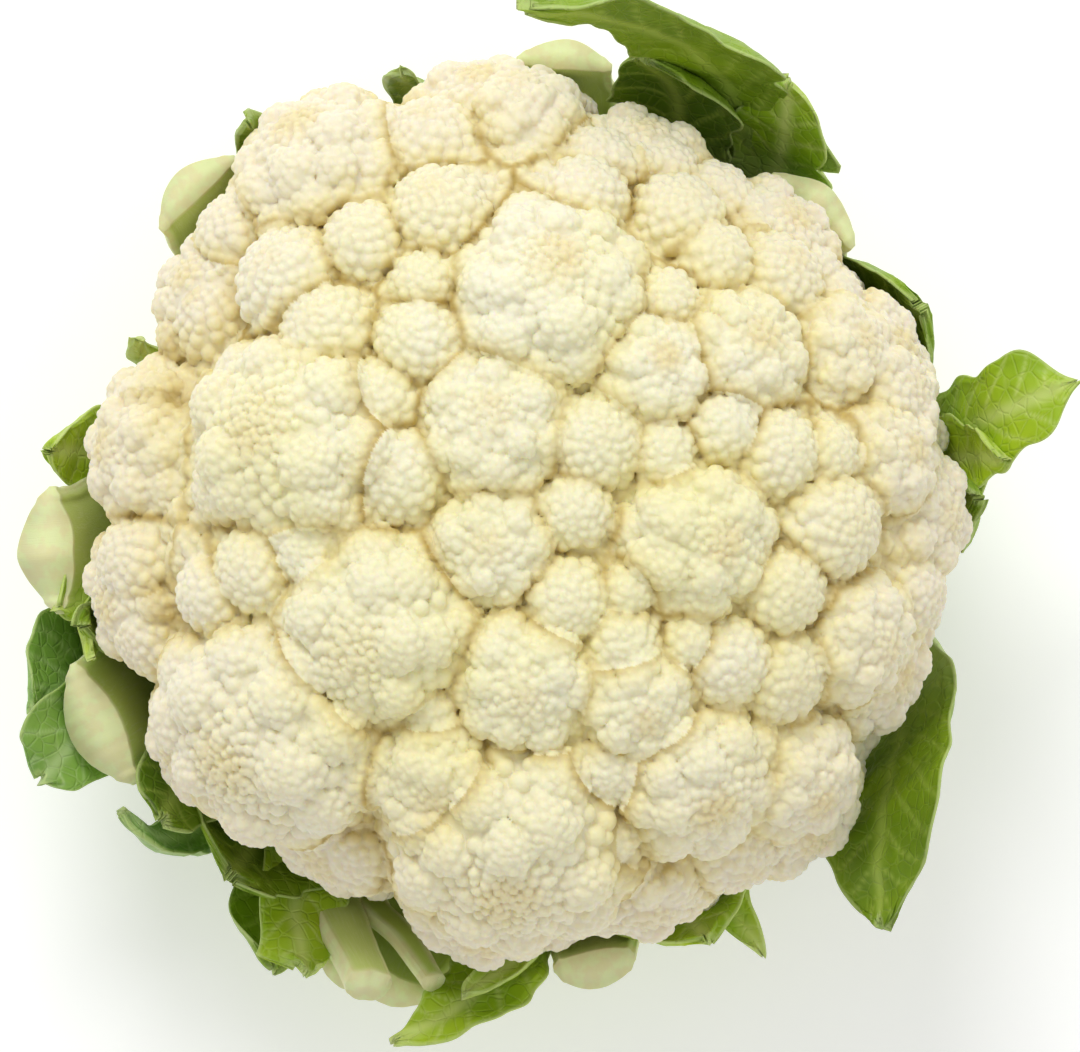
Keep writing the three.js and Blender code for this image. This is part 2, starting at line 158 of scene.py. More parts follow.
# The leaves: kind, tier, path of the part outside the curd, half-width at the base and along
# the path, rib and blade thickness, cup (how far the section wraps), roll in degrees; then the
# looks, over those of the kind: ruffle (mm), lobe (share of the half-width that the margin
# waves by), tear (raggedness of the far end, mm), tone 0..1.
LEAVES = {
    "leaf_left": dict(
        kind="petiole", tier=0, path=[(-84, -4, 28), (-93.5, -5, 46), (-99.5, -5, 64)],
        half=[9, 12, 13.5, 13], rib=[7, 12], blade=[4, 5], cup=0.4, tear=3, tone=0.2),
    "leaf_lower_left": dict(
        kind="petiole", tier=1, path=[(-76, -33, 30), (-84, -37, 46), (-90, -41, 62)],
        half=[9, 12, 14, 14], rib=[7, 12], blade=[4, 5], cup=0.4, tear=2.5, tone=0.6),
    "leaf_bottom_left": dict(
        kind="petiole", tier=0, path=[(-27, -76, 23), (-31, -88, 38), (-33.5, -94, 54)],
        half=[9, 12, 12.5, 12.5], rib=[7, 7], blade=[4, 4], cup=0.4, tear=4, tone=0.4),
    "leaf_bottom": dict(
        kind="petiole", tier=1, path=[(9, -78, 30), (11, -86, 44), (11.5, -89.5, 58)],
        half=[9, 9, 8.5, 8.5], rib=[7, 8], blade=[4, 5], cup=0.4, tear=2, tone=0.1),
    "leaf_top": dict(
        kind="petiole", tier=0, path=[(4, 84, 28), (5, 92, 46), (5, 94.5, 66)],
        half=[9, 9, 9.5, 9.5], rib=[7, 6], blade=[4, 3], cup=0.4, tear=2, tone=0.3),
    "leaf_upper_left": dict(
        kind="petiole", tier=1, path=[(-61, 58, 30), (-67.5, 65.5, 48), (-70.5, 68.5, 64)],
        half=[9, 10, 11, 11], rib=[7, 7], blade=[4, 3], cup=0.5, tear=3, tone=0.3),
    "leaf_upper_right": dict(
        kind="petiole", tier=0, path=[(49, 57, 28), (54.5, 63, 48), (56.5, 65, 66)],
        half=[9, 11, 11.5, 11.5], rib=[7, 6], blade=[4, 3], cup=0.5, tear=3, tone=0.1),
    "leaf_bottom_left_stalk": dict(
        kind="petiole", tier=2, path=[(-44, -70, 36), (-39.5, -82, 53), (-34, -92, 68)],
        half=[6, 5.5, 5, 5], rib=[6, 7], blade=[4, 5], cup=0.2, tear=1, tone=0.0),
    "leaf_right": dict(
        kind="bright", tier=1,
        path=[(81, 15, 38), (88, 20, 60), (96, 24, 74), (107, 29, 79)],
        half=[8, 8, 10, 12, 2], rib=[6, 2.6], tone=0.7, lobe=0.34),
    "leaf_lower_right": dict(
        kind="blade", tier=0,
        path=[(74, -34, 36), (74, -46, 56), (69, -60, 68), (68, -80, 74)],
        half=[9, 11, 14, 15, 9], rib=[7, 3], cup=0.4, roll=-20, tone=0.75,
        ruffle=3.2),
    "leaf_top_right": dict(
        kind="blade", tier=1,
        path=[(38, 74, 36), (41, 85, 58), (33, 94, 76), (16, 100, 88), (-4, 101.5, 92)],
        half=[9, 11, 16, 15, 9, 3], rib=[7, 3], cup=0.4, roll=20, tone=0.65,
        lobe=0.3),
    "leaf_right_upper": dict(
        kind="blade", tier=2, path=[(68, 37, 38), (74, 42.5, 56), (76, 44, 72)],
        half=[6, 10, 14, 12], rib=[6, 2.4], cup=0.6, tone=0.2),
    "leaf_right_lower": dict(
        kind="blade", tier=2, path=[(80, 2, 38), (86, 4, 56), (87.5, 6, 70)],
        half=[6, 7, 8, 5], rib=[6, 2.4], cup=0.4, tone=0.4),
    "leaf_bottom_right": dict(
        kind="bright", tier=2, path=[(26, -73, 37), (30, -80, 54), (34, -83, 66)],
        half=[6, 10, 12, 6], rib=[6, 2.4], tone=0.5),
    "leaf_bottom_sliver": dict(
        kind="bright", tier=0, path=[(35, -70, 34), (40, -79, 52), (44.5, -86, 60)],
        half=[5, 4, 3, 1.5], rib=[5, 2.2], cup=0.3, tone=0.9),
    "leaf_bottom_tip": dict(
        kind="bright", tier=2,
        path=[(-5, -80, 37), (-9, -91, 52), (-19, -99, 62), (-30, -103.5, 64)],
        half=[5, 6, 8, 6, 1.5], rib=[5, 2.4], cup=0.4, tone=0.7),
    "leaf_bottom_left_blade": dict(
        kind="blade", tier=1, path=[(-54, -57, 32), (-60, -67, 52), (-62, -70, 68)],
        half=[8, 12, 15, 12], rib=[6, 2.6], cup=0.6, tone=0.3),
    "leaf_left_narrow": dict(
        kind="dull", tier=0,
        path=[(-64, -56, 28), (-72, -63, 46), (-78, -63, 58), (-84, -56, 66)],
        half=[5, 5, 5, 4, 2], rib=[5, 2.4], tone=0.5),
    "leaf_lower_left_blade": dict(
        kind="dull", tier=0, path=[(-84, -25, 26), (-96, -32, 46), (-102, -38, 60)],
        half=[8, 10, 13, 8], rib=[6, 2.6], cup=0.4, tone=0.3),
    "leaf_left_leaflet": dict(
        kind="blade", tier=2, path=[(-82, -19, 38), (-89, -20.5, 56), (-91, -20, 74)],
        half=[5, 5, 5, 4], rib=[5, 2.4], tone=0.2),
    "leaf_left_upper": dict(
        kind="bright", tier=1, path=[(-87, 13, 34), (-94, 15.5, 50), (-99, 15, 64)],
        half=[8, 8, 8, 5], rib=[6, 2.6], tone=0.4),
    "leaf_left_tip": dict(
        kind="bright", tier=2, path=[(-74, 31, 38), (-80.5, 35, 56), (-80, 37, 74)],
        half=[5, 3, 2.5, 1.5], rib=[5, 2.2], cup=0.4, tone=0.3),
    "leaf_upper_left_tip": dict(
        kind="blade", tier=2, path=[(-51, 70, 38), (-57.5, 79, 58), (-58, 80, 76)],
        half=[5, 4, 5, 2.5], rib=[5, 2.2], cup=0.4, tone=0.3),
    "leaf_top_left": dict(
        kind="blade", tier=1, path=[(-23, 80, 34), (-27, 89, 54), (-27.5, 90, 74)],
        half=[6, 5, 4, 2.5], rib=[5, 2.2], tone=0.3),
}
# Torn bits of the leaves above, and one dark piece of painted shade, each drawn as a piece of the
# leaf it is of.
SCRAPS = {
    # A leaf piece in the deepest dark green, filling the shaded inside of the top-right leaf:
    # painted shade.
    "shade_fill_top_right": dict(
        of="leaf_top_right", kind="blade", tier=2,
        path=[(27, 76, 42), (28, 87, 60), (20, 94, 74)],
        half=[6, 9, 12, 8], rib=[5, 2.2], blade=[3, 1.2], tone=0.0, ruffle=2.0),
    "scrap_top_right_lobe": dict(
        of="leaf_top_right", kind="bright", tier=2,
        path=[(47, 70, 42), (50, 80, 62), (49, 88, 76)],
        half=[5, 7, 9, 5], rib=[4, 2], blade=[2, 1.1], tone=0.3, ruffle=2.2, lobe=0.4),
    "scrap_bottom_left": dict(
        of="leaf_bottom_left_blade", kind="bright", tier=2,
        path=[(-46, -66, 40), (-50, -78, 54), (-47, -90, 64)],
        half=[5, 7, 9, 7], rib=[5, 2.2], blade=[3, 1.2], tone=0.4, ruffle=3.0, lobe=0.45),
    "scrap_bottom_left_dark": dict(
        of="leaf_bottom_left_blade", kind="blade", tier=1,
        path=[(-52, -68, 36), (-56, -80, 46), (-54, -90, 54)],
        half=[5, 7, 8, 6], rib=[5, 2.2], blade=[3, 1.2], cup=0.6, tone=0.2, ruffle=2.5),
    "scrap_bottom_stalk": dict(
        of="leaf_bottom_left_stalk", kind="petiole", tier=2,
        path=[(-36, -74, 38), (-27, -84, 52), (-21, -92, 62)],
        half=[3, 3, 2.6, 2.4], rib=[4, 4], blade=[3, 3], cup=0.2, tone=0.9, tear=1.0),
    "scrap_bottom_rim": dict(
        of="leaf_bottom_tip", kind="bright", tier=1,
        path=[(2, -76, 44), (-6, -89, 58), (-16, -94, 66)],
        half=[3, 3.5, 4, 2], rib=[3, 1.8], blade=[2, 1.0], tone=0.8, ruffle=1.2),
    "scrap_right_fold": dict(
        of="leaf_right", kind="bright", tier=2,
        path=[(80, 12, 44), (87, 14, 62), (93, 13, 76)],
        half=[4, 6, 7, 4], rib=[4, 2], blade=[2, 1.1], cup=0.7, tone=0.6, ruffle=2.0, lobe=0.4),
    "scrap_lower_left": dict(
        of="leaf_lower_left_blade", kind="dull", tier=1,
        path=[(-84, -34, 40), (-95, -44, 54), (-101, -52, 60)],
        half=[4, 8, 10, 7], rib=[4, 2], blade=[2, 1.1], tone=0.5, ruffle=2.4, lobe=0.4),
    "scrap_left_curl": dict(
        of="leaf_left_leaflet", kind="bright", tier=2,
        path=[(-84, -14, 42), (-91, -20, 60), (-89, -27, 72)],
        half=[3, 4, 5, 3], rib=[3, 1.8], blade=[2, 1.0], cup=0.8, tone=0.5, ruffle=1.8, lobe=0.4),
    "scrap_crinkled": dict(
        of="leaf_bottom_left_blade", kind="blade", tier=2,
        path=[(-68, -46, 42), (-74, -54, 58), (-76, -60, 68)],
        half=[4, 6, 8, 6], rib=[4, 2], blade=[2, 1.1], cup=0.7, tone=0.3, ruffle=3.0, lobe=0.4),
    "scrap_left_fold": dict(
        of="leaf_left", kind="bright", tier=0,
        path=[(-84, -10, 40), (-92, -14, 56), (-97, -17, 66)],
        half=[3, 6, 7, 4], rib=[3, 1.8], blade=[2, 1.0], tone=0.7, ruffle=1.5),
}
# What the leaves of a kind share: slot, height of the veins, thickness of the rim, how fine the
# tearing is, and the values above where a leaf gives none of its own.
BLADE = dict(blade=[3, 1.3], cup=0.5, rim=0.5, fray=0.25)
KINDS = {
    "petiole": dict(slot="petiole", ruffle=0.45, lobe=0.05, vein=0, rim=1.4, tear=3, fray=0.05),
    "blade": dict(BLADE, slot="leaf_dark", ruffle=2.2, lobe=0.26, vein=0.4, tear=4),
    "bright": dict(BLADE, slot="leaf_bright", ruffle=2.0, lobe=0.26, vein=0.35, tear=3),
    "dull": dict(BLADE, slot="leaf_grey", ruffle=1.8, lobe=0.2, vein=0.4, tear=3),
}
GRID = {"along": 120, "across": 44}  # facets of a leaf along it and across each face
VEINS = {"step": 7.5, "slant": 0.9, "width": 0.07, "midrib": 1.6}  # spacing and midrib in mm
CLEARANCE = 0.4  # least gap between a leaf and the florets
BAKE = {  # places in the bake maps, 0..1: rows of a leaf's map, then the curd's
    "face": 0.46,  # height of each face
    "inner": 0.48,  # where the inner face starts
    "edges": (0.95, 0.965),
    "edge": 0.01,  # height of each edge
    "ends": (0.98, 0.99),
    "end": 0.008,  # height of each end
    "curd": 0.495,  # radius of its round map
}


# ---- Small helpers ----

def smoothstep(low, high, x):
    """0 under low, 1 over high, and a smooth rise between them."""
    t = np.clip((np.asarray(x, float) - low) / (high - low), 0, 1)
    return t * t * (3 - 2 * t)


def along(values, share):
    """Reads a list of values as one smooth run over 0..1."""
    values = np.asarray(values, float)
    place = np.clip(share, 0, 1) * (len(values) - 1)
    index = np.minimum(np.floor(place).astype(int), len(values) - 2)
    blend = smoothstep(0, 1, place - index)
    return values[index] * (1 - blend) + values[index + 1] * blend


def unit(vectors):
    return vectors / np.linalg.norm(vectors, axis=-1, keepdims=True)


def mesh_object(name, points, faces):
    """A mesh object from points in millimetres, measured from the head's own plan origin."""
    mesh = bpy.data.meshes.new(name)
    mesh.from_pydata(((np.asarray(points) + HOME) * MM).tolist(), [], faces)
    mesh.validate()
    obj = bpy.data.objects.new(name, mesh)
    bpy.context.scene.collection.objects.link(obj)
    mesh.polygons.foreach_set("use_smooth", np.ones(len(mesh.polygons), bool))
    return obj


def add_value(mesh, name, values):
    layer = mesh.attributes.new(name, "FLOAT", "POINT")
    layer.data.foreach_set("value", np.asarray(values, np.float32).ravel())


def add_bake_map(mesh, uv):
    """The flat map named OFBake that the materials are to be baked through, from a value per
    point.
    """
    corners = np.empty(len(mesh.loops), np.int32)
    mesh.loops.foreach_get("vertex_index", corners)
    layer = mesh.uv_layers.new(name="OFBake")
    layer.data.foreach_set("uv", np.asarray(uv, np.float32)[corners].ravel())


# The lists above put the axis at AXIS; the CAD stem says where it stands in the frame.
stem_low, stem_high = (np.array(corner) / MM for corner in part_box("stem"))
HOME = np.array([*((stem_low + stem_high) / 2)[:2] - AXIS, 0.0])


# ---- Curd ----

def outline_radius(angle):
    """Radius of the curd's outline from the axis, in a direction."""
    return along(OUTLINE + OUTLINE[:1], np.mod(angle / (2 * math.pi), 1))


def body_point(x, y):
    """A point of the smooth body under the florets, from the axis, and its outward side."""
    offset = np.array([x, y]) - AXIS
    rim = outline_radius(math.atan2(offset[1], offset[0])) - CURD["inset"]
    reach = min(np.hypot(*offset) / rim, 0.97)
    power = CURD["roundness"]
    fall = (1 - reach**power) ** (1 / power)
    plan = offset / np.hypot(*offset) * reach * rim
    steep = CURD["crown"] / rim * (reach / fall) ** (power - 1)
    outward = unit(np.array([*(plan / np.hypot(*plan) * steep), 1]))
    return np.array([*plan, CURD["waist"] + CURD["crown"] * fall]), outward


def crown_florets():
    """The listed florets as spheres from the axis, kept inside the outline."""
    spheres = []
    for x, y, radius in FLORETS:
        place, outward = body_point(x, y)
        centre = place - outward * CURD["sink"] * radius
        reach = np.hypot(*centre[:2])
        most = outline_radius(math.atan2(centre[1], centre[0])) - radius
        centre[:2] *= min(1, most / reach)
        spheres.append((*centre, radius))
    return spheres


def flank_florets():
    """The rings of florets under the crown, each ring half a step past the one above."""
    spheres = []
    for level, (height, count, radius, inset) in enumerate(FLANKS):
        for i in range(count):
            angle = (i + level / 2) / count * 2 * math.pi
            reach = outline_radius(angle) - radius - inset
            spheres.append((reach * math.cos(angle), reach * math.sin(angle), height, radius))
    return spheres


def cover(centres, radii, axes, sizes, reach, jitter, rng):
    """Winds small spheres from the axis of each big one down to an angle on its side.

    sizes(radius, share) gives the small radius at a share of the way down.
    Returns the small spheres' directions, radii, owners and share of the way down.
    """
    out = []
    for owner, (radius, axis) in enumerate(zip(radii, axes)):
        side = unit(np.cross(axis, WINDING["aside"]))
        other = np.cross(axis, side)
        height, turn, floor = 1.0, rng.uniform(0, 2 * math.pi), math.cos(reach)
        while height > floor:
            share = math.acos(max(-1, min(1, height))) / reach
            size = sizes(radius, share) * rng.uniform(1 - jitter, 1 + jitter)
            ring = math.sqrt(max(0, 1 - height * height))
            drift = rng.uniform(-WINDING["drift"], WINDING["drift"]) * size
            shift = drift / (radius * max(ring, WINDING["least_ring"]))
            way = side * math.cos(turn + shift) + other * math.sin(turn + shift)
            out.append((*(axis * height + way * ring), size, owner, share))
            height -= size * size / (radius * radius) * WINDING["pitch"]
            turn += GOLDEN_ANGLE
    out = np.array(out)
    return out[:, :3], out[:, 3], out[:, 4].astype(int), out[:, 5]


def dome_size(radius, share):
    """Radius of a dome, from its floret's radius and its share of the way down."""
    return radius * (DOME["apex_share"] + (DOME["rim_share"] - DOME["apex_share"]) * share)


def bead_size(radius, share):
    """Radius of a bead, from its dome's radius and its share of the way down."""
    rim = BEAD["rim"] + BEAD["rim_share"] * radius
    return BEAD["apex"] + (rim - BEAD["apex"]) * min(1, share * BEAD["grow"])


def open_to_air(points, radii, owners, centres, big):
    """True for the small spheres that no other big sphere hides."""
    seen = np.ones(len(points), bool)
    for j, (centre, radius) in enumerate(zip(centres, big)):
        deep = np.linalg.norm(points - centre, axis=1) < radius - radii * WINDING["hidden"]
        seen &= ~(deep & (owners != j))
    return seen


def empty_field():
    """Distances, in millimetres, to the smooth body under the florets, on a grid of cells."""
    side, low, high = CELLS["side"], CURD["seat"] - CELLS["under_seat"], CELLS["top"]
    xs = np.arange(-side, side, VOXEL, dtype=np.float32)
    zs = np.arange(low, high, VOXEL, dtype=np.float32)
    reach = np.hypot(xs[:, None], xs[None, :])
    rim = outline_radius(np.arctan2(xs[None, :], xs[:, None])).astype(np.float32)
    rim -= CURD["inset"] + BODY_SHRINK
    power = CURD["roundness"]
    plan = (reach / rim) ** power
    field = np.empty((len(xs), len(xs), len(zs)), np.float32)
    for k, z in enumerate(zs):
        above = z - CURD["waist"]
        tall = CURD["crown"] - BODY_SHRINK if above > 0 else CURD["belly"]
        spread = (plan + (abs(above) / tall) ** power) ** (1 / power) + 1e-6
        field[:, :, k] = np.hypot(reach, above) * (1 - 1 / spread)
    np.clip(field, -BAND, BAND, out=field)
    return field, np.array([-side, -side, low], float)


def stamp(field, origin, sphere):
    """Adds one sphere to the field."""
    centre, radius = sphere[:3], sphere[3]
    low = np.maximum(np.floor((centre - radius - BAND - origin) / VOXEL).astype(int), 0)
    high = np.ceil((centre + radius + BAND - origin) / VOXEL).astype(int) + 1
    part = field[low[0]:high[0], low[1]:high[1], low[2]:high[2]]
    x, y, z = (origin[i] + VOXEL * np.arange(low[i], low[i] + part.shape[i]) - centre[i]
               for i in range(3))
    away = (x * x)[:, None, None] + (y * y)[None, :, None] + (z * z)[None, None, :]
    np.minimum(part, np.sqrt(away) - radius, out=part, casting="unsafe")


def filler_lobes(rng):
    """Small lobes all over the body, so that a gap between florets shows more florets."""
    lobes, ways = [], []
    for k in range(FILLER["count"]):
        height = 1 - FILLER["span"] * (k + 0.5) / FILLER["count"]
        ring = math.sqrt(1 - height * height)
        turn = k * GOLDEN_ANGLE
        way = np.array([ring * math.cos(turn), ring * math.sin(turn), height])
        rim = outline_radius(turn) - CURD["inset"]
        power = CURD["roundness"]
        tall = CURD["crown"] if height > 0 else CURD["belly"]
        reach = ((ring / rim) ** power + (abs(height) / tall) ** power) ** (-1 / power)
        place = way * (reach - FILLER["depth"]) + [0, 0, CURD["waist"]]
        vary = rng.uniform(1 - FILLER["vary"], 1 + FILLER["vary"])
        lobes.append((*place, FILLER["radius"] * vary))
        ways.append(way)
    return np.array(lobes), np.array(ways)


def branch_spheres(florets):
    """The thick pale branches that carry the lowest florets, seen from below."""
    chains = []
    for x, y, z, _ in florets:
        if z > BRANCH["below"]:
            continue
        angle, reach = math.atan2(y, x), BRANCH["foot"]
        foot = np.array([reach * math.cos(angle), reach * math.sin(angle),
                         CURD["seat"] + BRANCH["lift"]])
        for share in np.linspace(0, 1, BRANCH["steps"]):
            place = foot * (1 - share) + np.array([x, y, z]) * share
            bow = math.sin(share * math.pi)
            place[2] -= BRANCH["sag"] * bow
            chains.append((*place, BRANCH["radius"] - BRANCH["waist"] * bow))
    return np.array(chains)


def skin_of(name, spheres):
    """One skin round the body and a cloud of spheres, from the axis in millimetres."""
    field, origin = empty_field()
    for sphere in spheres:
        stamp(field, origin, sphere)
    field[:, :, 0] = BAND
    grid = openvdb.FloatGrid(BAND)
    grid.copyFromArray(field)
    points, quads = grid.convertToQuads(0.0)
    points = points.astype(float) * VOXEL + origin
    mesh = bpy.data.meshes.new(name)
    mesh.vertices.add(len(points))
    mesh.vertices.foreach_set("co", points.astype(np.float32).ravel())
    mesh.loops.add(quads.size)
    mesh.loops.foreach_set("vertex_index", quads.astype(np.int32).ravel())
    mesh.polygons.add(len(quads))
    mesh.polygons.foreach_set("loop_start", np.arange(0, quads.size, 4, dtype=np.int32))
    mesh.update(calc_edges=True)
    return mesh, points


def sunk(gap, tilt, measure):
    """How deep in a seam points lie, 0..1, from their gap to the next floret and their tilt."""
    seam = SEAMS[measure]
    return (1 - smoothstep(0, seam["width"], gap)) * smoothstep(seam["from"], seam["to"], tilt)


def floret_fields(points, florets, axes):
    """For each surface point: its floret, how far into a seam between florets it lies, by a
    narrow and by a wide measure, and its angle from the floret's tip."""
    first = np.full(len(points), 1e9)
    second = np.full(len(points), 1e9)
    owner = np.zeros(len(points), int)
    for j, (x, y, z, radius) in enumerate(florets):
        depth = np.linalg.norm(points - (x, y, z), axis=1) - radius
        closer = depth < first
        second = np.where(closer, first, np.minimum(second, depth))
        owner[closer] = j
        first = np.where(closer, depth, first)
    offset = unit(points - florets[owner, :3])
    tilt = np.arccos(np.clip(np.sum(offset * axes[owner], axis=1), -1, 1))
    gap = second - first
    return owner, sunk(gap, tilt, "seam"), sunk(gap, tilt, "dip"), tilt


def curd_domes(florets, axes, rng):
    """The florets, the smaller domes that the big ones are made of, and the filler between."""
    big = florets[:, 3] > DOME["from"]
    ways, sizes, owners, shares = cover(
        florets[big, :3], florets[big, 3], axes[big], dome_size,
        DOME["reach"], DOME["jitter"], rng)
    parents = florets[big][owners]
    places = parents[:, :3] + ways * (parents[:, 3] - DOME["rise"] * sizes)[:, None]
    small = np.column_stack([places, sizes])
    seen = open_to_air(places, sizes, np.flatnonzero(big)[owners], florets[:, :3], florets[:, 3])
    seen &= shares > DOME["start"]
    leans = unit(ways + axes[big][owners] * DOME["lean"])
    filler, filler_ways = filler_lobes(rng)
    bare = open_to_air(filler[:, :3], filler[:, 3], np.full(len(filler), -1),
                       florets[:, :3], florets[:, 3])
    domes = np.vstack([florets, small[seen], filler[bare]])
    return domes, np.vstack([axes, leans[seen], filler_ways[bare]])


def curd_values(mesh, points, florets, axes, rng):
    """What the curd's material needs to know at each point."""
    owner, seam, dip, tilt = floret_fields(points, florets, axes)
    size = florets[owner, 3]
    tip = 1 - smoothstep(TIP["from"], TIP["to"], tilt)
    chance = np.array([rng.random() for _ in florets])
    # The seam and dip values mask the painted crease shade in the curd's material.
    add_value(mesh, "seam", seam)
    add_value(mesh, "dip", dip)
    add_value(mesh, "tip", tip * smoothstep(TIP["small"], TIP["big"], size))
    add_value(mesh, "floret", chance[owner])
    way = unit(points - np.array([0, 0, CURD["heart"]]))
    down = np.arccos(np.clip(way[:, 2], -1, 1))
    add_value(mesh, "side", smoothstep(0.5, 1.5, down))
    around = np.arctan2(way[:, 1], way[:, 0])
    spread = np.sin(down / 2) * BAKE["curd"]
    add_bake_map(mesh, np.column_stack([0.5 + spread * np.cos(around),
                                        0.5 + spread * np.sin(around)]))


def make_curd():
    """The curd: florets, the domes on them and the beads on those, under one skin."""
    rng = random.Random(7)
    florets = np.array(curd_spheres)
    axes = unit(florets[:, :3] - np.array([0, 0, CURD["root"]]))
    florets[:, :3] -= axes * (florets[:, 3] * SWELL)[:, None]
    florets[:, 3] *= 1 + SWELL
    domes, leans = curd_domes(florets, axes, rng)
    ways, sizes, owners, shares = cover(
        domes[:, :3], domes[:, 3], leans, bead_size, BEAD["reach"], BEAD["jitter"], rng)
    stand = np.minimum(1, shares * BEAD["stand"])
    rise = BEAD["rise_apex"] + (BEAD["rise"] - BEAD["rise_apex"]) * stand
    beads = domes[owners, :3] + ways * (domes[owners, 3] - rise * sizes)[:, None]
    seen = open_to_air(beads, sizes, owners, domes[:, :3], domes[:, 3])
    cores = domes.copy()
    cores[:, 3] *= DOME["core"]
    spheres = np.vstack([
        cores,
        np.column_stack([beads, sizes])[seen],
        branch_spheres(florets),
    ])
    spheres = spheres[spheres[:, 2] + spheres[:, 3] > CURD["seat"]]
    mesh, points = skin_of("curd_florets", spheres)
    curd_values(mesh, points, florets, axes, rng)
    points[:, 2] = np.maximum(points[:, 2], CURD["seat"])
    points += [*AXIS, 0] + HOME
    mesh.vertices.foreach_set("co", (points * MM).astype(np.float32).ravel())
    mesh.polygons.foreach_set("use_smooth", np.ones(len(mesh.polygons), bool))
    mesh.update()
    curd = bpy.data.objects.new("curd_florets", mesh)
    bpy.context.scene.collection.objects.link(curd)
    print("curd:", len(spheres), "spheres,", len(mesh.vertices), "points")
    return curd


# ---- Leaves ----

def leaf_knots(leaf):
    """The places a leaf's middle line runs through, from inside the stem to its far end."""
    path = [np.array(place, float) for place in leaf["path"]]
    level = TIERS[leaf["tier"]]
    outward = unit(path[0][:2] - AXIS)
    rise = BASE["knee_share"] * (path[0][2] - level)
    start = [np.array([*(AXIS + outward * reach), height]) for reach, height in (
        (BASE["inside"], level), (BASE["middle"], level + rise * BASE["middle_rise"]),
        (BASE["knee"], level + rise))]
    return np.array(start + path)


def spline(knots, shares):
    """Points and tangents of a centripetal Catmull-Rom curve at shares of its spans."""
    ends = np.vstack([2 * knots[0] - knots[1], knots, 2 * knots[-1] - knots[-2]])
    points, tangents = [], []
    for share in shares:
        place = share * (len(knots) - 1)
        i = min(int(place), len(knots) - 2)
        t = place - i
        p0, p1, p2, p3 = ends[i:i + 4]
        d0, d1, d2 = (np.sum((b - a) ** 2) ** 0.25 for a, b in ((p0, p1), (p1, p2), (p2, p3)))
        m1 = ((p1 - p0) / d0 - (p2 - p0) / (d0 + d1) + (p2 - p1) / d1) * d1
        m2 = ((p2 - p1) / d1 - (p3 - p1) / (d1 + d2) + (p3 - p2) / d2) * d1
        a, b = 2 * p1 - 2 * p2 + m1 + m2, -3 * p1 + 3 * p2 - 2 * m1 - m2
        points.append(((a * t + b) * t + m1) * t + p1)
        tangents.append((3 * a * t + 2 * b) * t + m1)
    return np.array(points), unit(np.array(tangents))


def carried_backs(tangents):
    """The outer side of the line at each station, carried along it without twisting."""
    back, backs = np.array([0, 0, -1.0]), []
    for tangent in tangents:
        back = unit(back - tangent * np.dot(back, tangent))
        backs.append(back)
    return np.array(backs)


def turned(vectors, axes, angles):
    """Each vector turned about its own axis."""
    c, s = np.cos(angles)[:, None], np.sin(angles)[:, None]
    dots = np.sum(vectors * axes, axis=1, keepdims=True)
    return vectors * c + np.cross(axes, vectors) * s + axes * dots * (1 - c)


def wave(rng, x, y, scale, count=5):
    """Smooth noise of two coordinates, about -1..1."""
    total = np.zeros(np.broadcast(x, y).shape)
    for k in range(count):
        turn, phase = rng.uniform(0, 2 * math.pi), rng.uniform(0, 2 * math.pi)
        step = scale * (0.6 + 0.35 * k)
        total += np.sin((x * math.cos(turn) + y * math.sin(turn)) / step + phase) / (1 + 0.35 * k)
    return total / 2.2


def clear_of_curd(points, thickness):
    """Moves points that lie inside the curd's florets out to their surface."""
    for _ in range(2):
        for x, y, z, radius in curd_spheres:
            offset = points - (x + AXIS[0], y + AXIS[1], z)
            away = np.linalg.norm(offset, axis=1)
            inside = away < radius + thickness
            push = offset[inside] / np.maximum(away[inside], 1e-6)[:, None]
            points[inside] += push * (radius + thickness - away[inside])[:, None]
    return points


def leaf_half_widths(leaf, place, past_lead, shown):
    """Half-width at each station: straight to the curd's edge, then along the listed values."""
    first, edge = leaf["half"][:2]
    half = np.where(place < LEAD, first + (edge - first) * place / LEAD,
                    along(leaf["half"][1:], past_lead))
    return half * (1 + BASE["flare"] * (1 - smoothstep(0.1, 0.9, shown)))


def leaf_section(leaf, half, shown, grown, uu, vv, rng):
    """Places across and inward of the leaf's middle surface, wrapped, lobed and ruffled."""
    side = np.sign(vv)
    notch = wave(rng, uu, 40 * side, 5.5) + 0.4 * wave(rng, uu, 40 * side, 1.8)
    lobe = 1 + leaf["lobe"] * notch * grown * np.abs(vv)
    if leaf["kind"] != "petiole":  # a blade rounds off at its far end
        last = np.clip((shown - 0.8) / 0.2, 0, 1)
        lobe *= np.sqrt(np.clip(1 - last ** 2.2, 0.03, 1))[:, None]
    width = half[:, None] * lobe
    cup = leaf["cup"]
    across = width * np.sin(cup * vv) / cup
    inward = -width * (1 - np.cos(cup * np.abs(vv))) / cup
    ruffle = leaf["ruffle"]
    inward += ruffle * np.abs(vv) ** 2.2 * wave(rng, uu, 30 * side, 5.5) * grown
    run = uu * (0.12 if leaf["kind"] == "petiole" else 1.0)  # a petiole's unevenness is in ribs
    inward += 0.25 * ruffle * wave(rng, run, vv * 12, 3.0) * grown
    return across, inward


def leaf_veins(half, grown, uu, vv, rng):
    """Where the midrib and its slanting branches run, 0..1."""
    from_middle = np.abs(vv) * half[:, None]
    slant = uu - from_middle * VEINS["slant"] + 1.6 * wave(rng, uu, vv * 9, 5)
    off_branch = np.abs(slant / VEINS["step"] % 1 - 0.5)
    branch = np.exp(-(off_branch / VEINS["width"]) ** 2) * (1 - 0.5 * np.abs(vv))
    midrib = np.exp(-(from_middle / VEINS["midrib"]) ** 2)
    return np.maximum(branch * grown * smoothstep(0.06, 0.2, np.abs(vv)), midrib)


